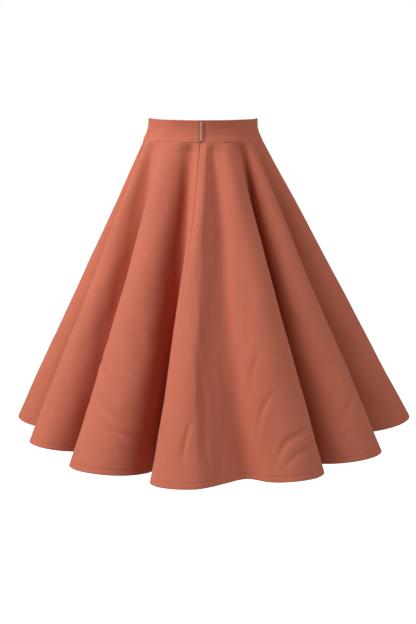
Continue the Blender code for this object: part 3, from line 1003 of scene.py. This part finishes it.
@dataclass
class Waistband:
    """The shaped band: one folded strip, open at centre back."""

    wall: float = 0.0020
    height: float = 0.045
    top_row: float = -0.0009
    rows_depth: float = 0.0434
    slot: float = 0.0020
    slot_flare: float = 0.0022
    flare_depth: float = 0.0042
    levels: tuple[BandRow, ...] = (
        BandRow(0.0000, 0.1145, 0.0920), BandRow(-0.0080, 0.1145, 0.0920),
        BandRow(-0.0180, 0.1150, 0.0926), BandRow(-0.0310, 0.1185, 0.0955),
        BandRow(-0.0450, 0.1255, 0.1010))
    end_columns: int = 44
    round_columns: int = 190
    end_reach: float = 0.026
    row_count: int = 26
    lip: float = 0.0086
    facing_line: float = 0.0140
    outer: np.ndarray = field(init=False)

    def level(self, z: float) -> BandRow:
        """Sizes of the band at any height, read between the named levels."""
        heights, half_x, half_y = np.array(self.levels)[::-1].T
        return BandRow(z, float(np.interp(z, heights, half_x)),
                       float(np.interp(z, heights, half_y)))

    def heights(self) -> np.ndarray:
        """Levels of the rows, closer together at the two edges."""
        rise = np.linspace(0.0, 1.0, self.row_count)
        soft = 0.5 - 0.5 * np.cos(math.pi * rise)
        return self.top_row - self.rows_depth * (0.45 * soft + 0.55 * rise)

    def runs(self, circumference: float, slot: float) -> np.ndarray:
        """Distances round the band from centre back, closer together at the ends."""
        near = np.linspace(slot, self.end_reach, self.end_columns, endpoint=False)
        middle = np.linspace(self.end_reach, circumference - self.end_reach,
                             self.round_columns, endpoint=False)
        far = circumference - np.linspace(self.end_reach, slot, self.end_columns + 1)
        return np.concatenate([near, middle, far])

    def press(self, run: np.ndarray, around: float, z: float) -> np.ndarray:
        """Small forms of the band in metres out: end lip, facing line and soft waves."""
        left = around - run
        down = -z / self.height
        lip = dent(run, self.lip, 0.0012, 0.0008)
        lift = 0.0006 * ease((self.lip - run) / 0.004) * ease(1.2 - down)
        facing = dent(left, self.facing_line, 0.0007, 0.0012)
        edge = dent(left, 0.0035, 0.0006, 0.0013)
        angle = run / around * TURN
        waves = 0.00035 * np.sin(9.0 * angle + 3.0 * down) + 0.00030 * np.sin(
            23.0 * angle - 5.0 * down + 1.0) * ease(np.array(down))
        seam = dent(z, -0.0395, 0.00015, 0.0010)
        return lift + waves - lip - facing - edge - seam

    def build(self, finishes: Finishes) -> bpy.types.Object:
        """Make the band, with its flat cut as its UV map, and dress it.

        Args:
            finishes: the skirt's materials.

        Returns:
            The waistband's object.
        """
        outer_rows = []
        inner_rows = []
        flat_rows = []
        for z in self.heights():
            row = self.level(float(z))
            ring = np.linspace(0.0, TURN, 721)
            spots = np.stack([oval(math.degrees(turn), row.half_x, row.half_y) for turn in ring])
            lengths = run_lengths(spots)
            around = float(lengths[-1])
            run = self.runs(around, self.slot + dent(z, 0.0, self.slot_flare, self.flare_depth))
            points = read_along(run, lengths, spots)
            normals = oval_normals(points, row.half_x, row.half_y)
            proud = self.press(run, around, float(z))
            points[:, 2] = z - dip(points)
            outer_rows.append(points + normals * proud[:, None])
            inner_rows.append(points - normals * self.wall)
            flat_rows.append(np.stack([run, np.full(len(run), z)], axis=-1))
        outer = np.array(outer_rows)
        inner = np.array(inner_rows)
        up = np.broadcast_to(np.array([0.0, 0.0, 1.0]), outer[0].shape)
        foot = round_edge(outer[-1], inner[-1], -up, 3, 0.6)
        head = round_edge(inner[0], outer[0], up, 5, 0.9)
        self.outer = outer
        piece = Shell(outer, inner, foot, head, np.array(flat_rows)).build("waistband_cloth", 60.0)
        declare(piece, Body.SKIRT, finishes.cloth, ("waistband",))
        return piece

    def line_beside_slot(self, reach: float, side: float, proud: float) -> np.ndarray:
        """A line down the band at a reach from centre back on one side."""
        line = []
        for z in np.linspace(-0.003, -0.042, 24):
            row = self.level(float(z))
            turn = math.degrees(side * reach / (row.half_x ** 2 / row.half_y))
            point = oval(turn, row.half_x + proud, row.half_y + proud)
            point[2] = z
            line.append(point)
        return np.array(line)


class StitchTree:
    """Geometry Nodes tree that sews stitches along chains of edges."""

    INPUTS = {"Pitch": 0.0032, "Stitch length": 0.0024, "Thread radius": 0.00022}
    BEAD = {"Segments": 6, "Rings": 4, "Radius": 1.0}

    def __init__(self, finish: bpy.types.Material) -> None:
        """Build the tree once.

        Args:
            finish: the thread's material.
        """
        self.tree = bpy.data.node_groups.new("RowOfStitches", "GeometryNodeTree")
        face = self.tree.interface
        self.keys: dict[str, str] = {}
        face.new_socket(name="Seam", in_out="INPUT", socket_type="NodeSocketGeometry")
        for label, value in self.INPUTS.items():
            made = face.new_socket(name=label, in_out="INPUT", socket_type="NodeSocketFloat")
            made.default_value = value
            self.keys[label] = made.identifier
        face.new_socket(name="Stitches", in_out="OUTPUT", socket_type="NodeSocketGeometry")
        self.lay_out(finish)

    def lay_out(self, finish: bpy.types.Material) -> None:
        """Chain: edges to curve, even points, one stitch on each, real mesh, thread."""
        tree = self.tree
        start = add_node(tree, "NodeGroupInput").outputs
        end = add_node(tree, "NodeGroupOutput")
        curve = add_node(tree, "GeometryNodeMeshToCurve")
        even = add_node(tree, "GeometryNodeResampleCurve", mode="LENGTH")
        way = add_node(tree, "GeometryNodeInputTangent")
        turn = add_node(tree, "FunctionNodeAlignRotationToVector", axis="Z")
        bead = add_node(tree, "GeometryNodeMeshUVSphere")
        for label, value in self.BEAD.items():
            bead.inputs[label].default_value = value
        half = add_node(tree, "ShaderNodeMath", operation="MULTIPLY")
        half.inputs[1].default_value = 0.5
        size = add_node(tree, "ShaderNodeCombineXYZ")
        smooth = add_node(tree, "GeometryNodeSetShadeSmooth")
        place = add_node(tree, "GeometryNodeInstanceOnPoints")
        real = add_node(tree, "GeometryNodeRealizeInstances")
        dress = add_node(tree, "GeometryNodeSetMaterial")
        dress.inputs["Material"].default_value = finish
        for source, target, socket in (
                (start["Seam"], curve, 0), (curve.outputs[0], even, "Curve"),
                (start["Pitch"], even, "Length"), (even.outputs[0], place, "Points"),
                (bead.outputs["Mesh"], smooth, 0), (smooth.outputs[0], place, "Instance"),
                (way.outputs[0], turn, "Vector"), (turn.outputs[0], place, "Rotation"),
                (start["Stitch length"], half, 0), (start["Thread radius"], size, 0),
                (start["Thread radius"], size, 1), (half.outputs[0], size, 2),
                (size.outputs[0], place, "Scale"), (place.outputs[0], real, 0),
                (real.outputs[0], dress, 0), (dress.outputs[0], end, 0)):
            tree.links.new(source, target.inputs[socket])

    def sew(self, name: str, lines: Sequence[np.ndarray], **sizes: float) -> bpy.types.Object:
        """Sew along lines and return a plain mesh object.

        Args:
            name: the piece's name.
            lines: chains of points.
            sizes: tree inputs by name, with underscores for spaces.

        Returns:
            The stitches as one mesh at the origin.
        """
        seam = path_object(name + "_path", lines)
        worker = seam.modifiers.new("Sewing", "NODES")
        worker.node_group = self.tree
        for label, value in sizes.items():
            worker[self.keys[label.replace("_", " ")]] = value
        graph = bpy.context.evaluated_depsgraph_get()
        mesh = bpy.data.meshes.new_from_object(seam.evaluated_get(graph), depsgraph=graph)
        mesh.name = name
        bpy.data.objects.remove(seam)
        return add_object(name, mesh)


@dataclass
class BackZip:
    """Tapes, closed coil, slider and pull at centre back."""

    centre: float = 11.875
    tape_width: float = 0.012
    tape_wall: float = 0.0006
    cloth_wall: float = 0.0012
    inset: float = 0.0005
    depth_share: float = 0.25
    tooth_reach: float = 0.0017
    tooth_step: float = 0.0011
    band: Waistband = field(default_factory=Waistband)

    def line(self, side: float, reaches: np.ndarray) -> tuple[np.ndarray, np.ndarray]:
        """Rows down the zip of points at reaches from centre back, and their normals."""
        rows = []
        normals = []
        for z in np.linspace(-0.003, -0.0447, 12):
            row = self.band.level(float(z))
            radius = row.half_x ** 2 / row.half_y
            spots = np.array([oval(math.degrees(side * reach / radius), row.half_x, row.half_y)
                              for reach in reaches])
            spots[:, 2] = z
            ways = oval_normals(spots, row.half_x, row.half_y)
            rows.append(spots - ways * (self.band.wall + self.inset))
            normals.append(ways)
        shares = np.linspace(0.02, self.depth_share, 30)
        step = side * np.linspace(0.0, 1.6, 161)
        fan = FORM.smooth(self.centre + step, shares)
        ways = grid_normals(fan) * side
        for spots, way in zip(fan, ways):
            lengths = run_lengths(spots)
            out = unit(read_along(reaches, lengths, way))
            rows.append(read_along(reaches, lengths, spots)
                        - out * (self.cloth_wall + self.inset + self.tape_wall))
            normals.append(out)
        return np.array(rows), np.array(normals)

    def tape(self, name: str, side: float, finishes: Finishes) -> bpy.types.Object:
        """One half of the tape as a thin woven strip."""
        reaches = np.linspace(0.00015, self.tape_width, 9)
        outer, normals = self.line(side, reaches)
        inner = outer - normals * self.tape_wall
        if side < 0:
            outer, inner = outer[:, ::-1], inner[:, ::-1]
        down = np.linspace(0.0, 0.21, len(outer))
        flat = np.stack(np.meshgrid(reaches, down), axis=-1)
        none = np.empty((0,) + outer.shape[1:])
        piece = Shell(outer, inner, none, none, flat).build(name + "_weave")
        declare(piece, Body.SKIRT, finishes.tape, (name,))
        return piece

    def coil(self, finishes: Finishes, sewing: StitchTree) -> bpy.types.Object:
        """The closed coil: crossing loops of nylon behind the tapes."""
        rows, normals = self.line(1.0, np.array([0.0, self.tooth_reach]))
        spine = rows[:, 0] - normals[:, 0] * (self.tape_wall + 0.0007)
        across = unit(rows[:, 1] - rows[:, 0])
        lengths = run_lengths(spine)
        marks = np.arange(0.004, lengths[-1], self.tooth_step)
        middle, side, out = (read_along(marks, lengths, values)
                             for values in (spine, across, normals[:, 0]))
        lift = np.array([0.00030, 0.00045, -0.00005])
        teeth = []
        for number in range(len(marks)):
            hand = 1.0 if number % 2 else -1.0
            reach = np.array([-0.45, 0.35, 1.0]) * self.tooth_reach * hand
            teeth.append(middle[number] + reach[:, None] * side[number]
                         - lift[:, None] * out[number])
        piece = sewing.sew("zip_coil_teeth", teeth, Pitch=0.0012, Stitch_length=0.0019,
                           Thread_radius=0.00034)
        declare(piece, Body.SKIRT, finishes.coil, ("zip_chain",))
        return piece

    @staticmethod
    def metal(node: str, name: str, body: Body, bevel: float,
              finishes: Finishes) -> bpy.types.Object:
        """A softened copy of a metal piece of the zip.

        Args:
            node: the CAD node it copies.
            name: the new piece's name.
            body: the body it rides on.
            bevel: how much its edges are softened.
            finishes: the skirt's materials.

        Returns:
            The new object.
        """
        shape = bmesh.new()
        shape.from_mesh(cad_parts[node].data)
        bmesh.ops.remove_doubles(shape, verts=shape.verts, dist=1e-6)
        bmesh.ops.dissolve_limit(shape, angle_limit=math.radians(2.0), verts=shape.verts,
                                 edges=shape.edges)
        bmesh.ops.recalc_face_normals(shape, faces=shape.faces)
        sharp = [edge for edge in shape.edges if edge.calc_face_angle(0.0) > math.radians(25.0)]
        bmesh.ops.bevel(shape, geom=sharp, offset=bevel, segments=3, profile=0.6,
                        affect="EDGES", clamp_overlap=True)
        mesh = bpy.data.meshes.new(name)
        shape.to_mesh(mesh)
        shape.free()
        smooth_faces(mesh, 38.0)
        return declare(add_object(name, mesh), body, finishes.metal, (node,))

    def build(self, finishes: Finishes, teeth: StitchTree) -> None:
        """Make every piece of the zip."""
        self.tape("zip_tape_left", -1.0, finishes)
        self.tape("zip_tape_right", 1.0, finishes)
        self.coil(finishes, teeth)
        self.metal("zip_slider", "slider_body", Body.SKIRT, 0.00018, finishes)
        self.metal("zip_pull", "pull_tab", Body.PULL, 0.00016, finishes)


@dataclass
class Skirt:
    """The whole garment."""

    band: Waistband = field(default_factory=Waistband)
    panels: tuple[ClothPanel, ...] = (
        ClothPanel("back_panel_left", 9.25, 11.875, 11.875, 92, 138),
        ClothPanel("back_panel_right", 11.875, 15.0, 11.875, 92, 138),
        ClothPanel("front_panel", 3.0, 9.25, 6.125, 56, 110))

    def stitches(self, finishes: Finishes, sewing: StitchTree) -> None:
        """Machine lines: round the hem and beside the zip on the band."""
        hem = [panel.line_at(panel.hem_stitch, 0.00010) for panel in self.panels]
        rows = sewing.sew("hem_stitches", hem)
        declare(rows, Body.SKIRT, finishes.thread)
        lines = [self.band.line_beside_slot(self.band.lip, 1.0, -0.0003),
                 self.band.line_beside_slot(self.band.facing_line, -1.0, -0.0001)]
        beside = sewing.sew("band_stitches", lines, Pitch=0.0027, Stitch_length=0.0020,
                            Thread_radius=0.00018)
        declare(beside, Body.SKIRT, finishes.thread)

    def build(self) -> None:
        """Make every piece of the skirt in order."""
        finishes = Finishes()
        sewing = StitchTree(finishes.thread)
        self.band.build(finishes)
        for panel in self.panels:
            panel.build(finishes)
        self.stitches(finishes, sewing)
        BackZip(band=self.band).build(finishes, StitchTree(finishes.coil))


@dataclass(frozen=True)
class Lamp:
    """One soft studio light, placed round the skirt."""

    name: str
    azimuth: float
    elevation: float
    power: float
    distance: float = 3.2
    size: float = 1.8

    def place(self, aim: Vector) -> None:
        """Hang the light and turn it to the aim."""
        data = bpy.data.lights.new(self.name, "AREA")
        data.shape = "DISK"
        data.size = self.size
        data.energy = self.power
        lamp = bpy.data.objects.new(self.name, data)
        bpy.context.scene.collection.objects.link(lamp)
        side = math.radians(self.azimuth)
        rise = math.radians(self.elevation)
        away = Vector((math.sin(side) * math.cos(rise), -math.cos(side) * math.cos(rise),
                       math.sin(rise)))
        lamp.location = aim + away * self.distance
        lamp.rotation_mode = "QUATERNION"
        lamp.rotation_quaternion = away.to_track_quat("Z", "Y")


@dataclass(frozen=True)
class Studio:
    """Pale floor, soft light and the camera."""

    floor_z: float = -1.06
    floor_size: float = 60.0
    floor_tone: float = 0.45
    sky: float = 0.035
    camera_distance: float = 3.0
    camera_height: float = 0.15
    camera_azimuth: float = 2.0
    lamp_drop: float = 0.36
    aim_drop: float = 0.4140
    aside: float = 0.01075
    lens: float = 81.9
    lamps: tuple[Lamp, ...] = (
        Lamp("high_key", -80.0, 60.0, 50.0), Lamp("key", -61.0, 34.0, 84.0),
        Lamp("fill", 62.0, 33.0, 32.0), Lamp("side_fill", 84.0, 33.0, 18.0))

    def floor(self) -> None:
        """A wide pale floor."""
        half = self.floor_size / 2.0
        mesh = bpy.data.meshes.new("floor")
        mesh.from_pydata([(-half, -half, self.floor_z), (half, -half, self.floor_z),
                          (half, half, self.floor_z), (-half, half, self.floor_z)], [],
                         [(0, 1, 2, 3)])
        pale = Material("pale_floor")
        pale.numbers(Base_Color=(self.floor_tone, self.floor_tone, self.floor_tone, 1.0),
                     Roughness=0.9, Emission_Color=(1.0, 1.0, 1.0, 1.0))
        seen = pale.add("ShaderNodeLightPath").outputs["Is Camera Ray"]
        pale.data.node_tree.links.new(seen, pale.shader.inputs["Emission Strength"])
        mesh.materials.append(pale.data)
        add_object("floor", mesh)

    def world(self) -> None:
        """A white surround that lights the cloth only a little, so its folds keep their shade."""
        world = bpy.data.worlds.new("surround")
        world.use_nodes = True
        tree = world.node_tree
        shade = tree.nodes["Background"]
        shade.inputs["Color"].default_value = (1.0, 1.0, 1.0, 1.0)
        glow = tree.nodes.new("ShaderNodeMapRange")
        glow.inputs["To Min"].default_value = self.sky
        glow.inputs["To Max"].default_value = 1.0
        seen = tree.nodes.new("ShaderNodeLightPath").outputs["Is Camera Ray"]
        tree.links.new(seen, glow.inputs["Value"])
        tree.links.new(glow.outputs["Result"], shade.inputs["Strength"])
        bpy.context.scene.world = world

    def camera(self) -> None:
        """A camera behind the skirt, a little above the band and turned slightly off centre."""
        turn = math.radians(self.camera_azimuth)
        right = Vector((math.cos(turn), math.sin(turn), 0.0))
        spot = Vector((math.sin(turn), -math.cos(turn), 0.0)) * self.camera_distance
        spot += Vector((0.0, 0.0, self.camera_height)) + right * self.aside
        aim = Vector((0.0, 0.0, -self.aim_drop)) + right * self.aside
        data = bpy.data.cameras.new("camera")
        data.lens = self.lens
        data.sensor_width = 36.0
        camera = bpy.data.objects.new("camera", data)
        bpy.context.scene.collection.objects.link(camera)
        camera.location = spot
        camera.rotation_mode = "QUATERNION"
        camera.rotation_quaternion = (aim - spot).to_track_quat("-Z", "Y")
        bpy.context.scene.camera = camera

    def build(self) -> None:
        """Set up floor, surround, lights and camera."""
        bpy.context.scene.view_settings.view_transform = "Standard"
        self.floor()
        self.world()
        for lamp in self.lamps:
            lamp.place(Vector((0.0, 0.0, -self.lamp_drop)))
        self.camera()


def main() -> None:
    """Build the skirt, then the studio."""
    logging.basicConfig(level=logging.INFO, format="%(name)s: %(message)s")
    Skirt().build()
    Studio().build()


if __name__ == "__main__":
    main()
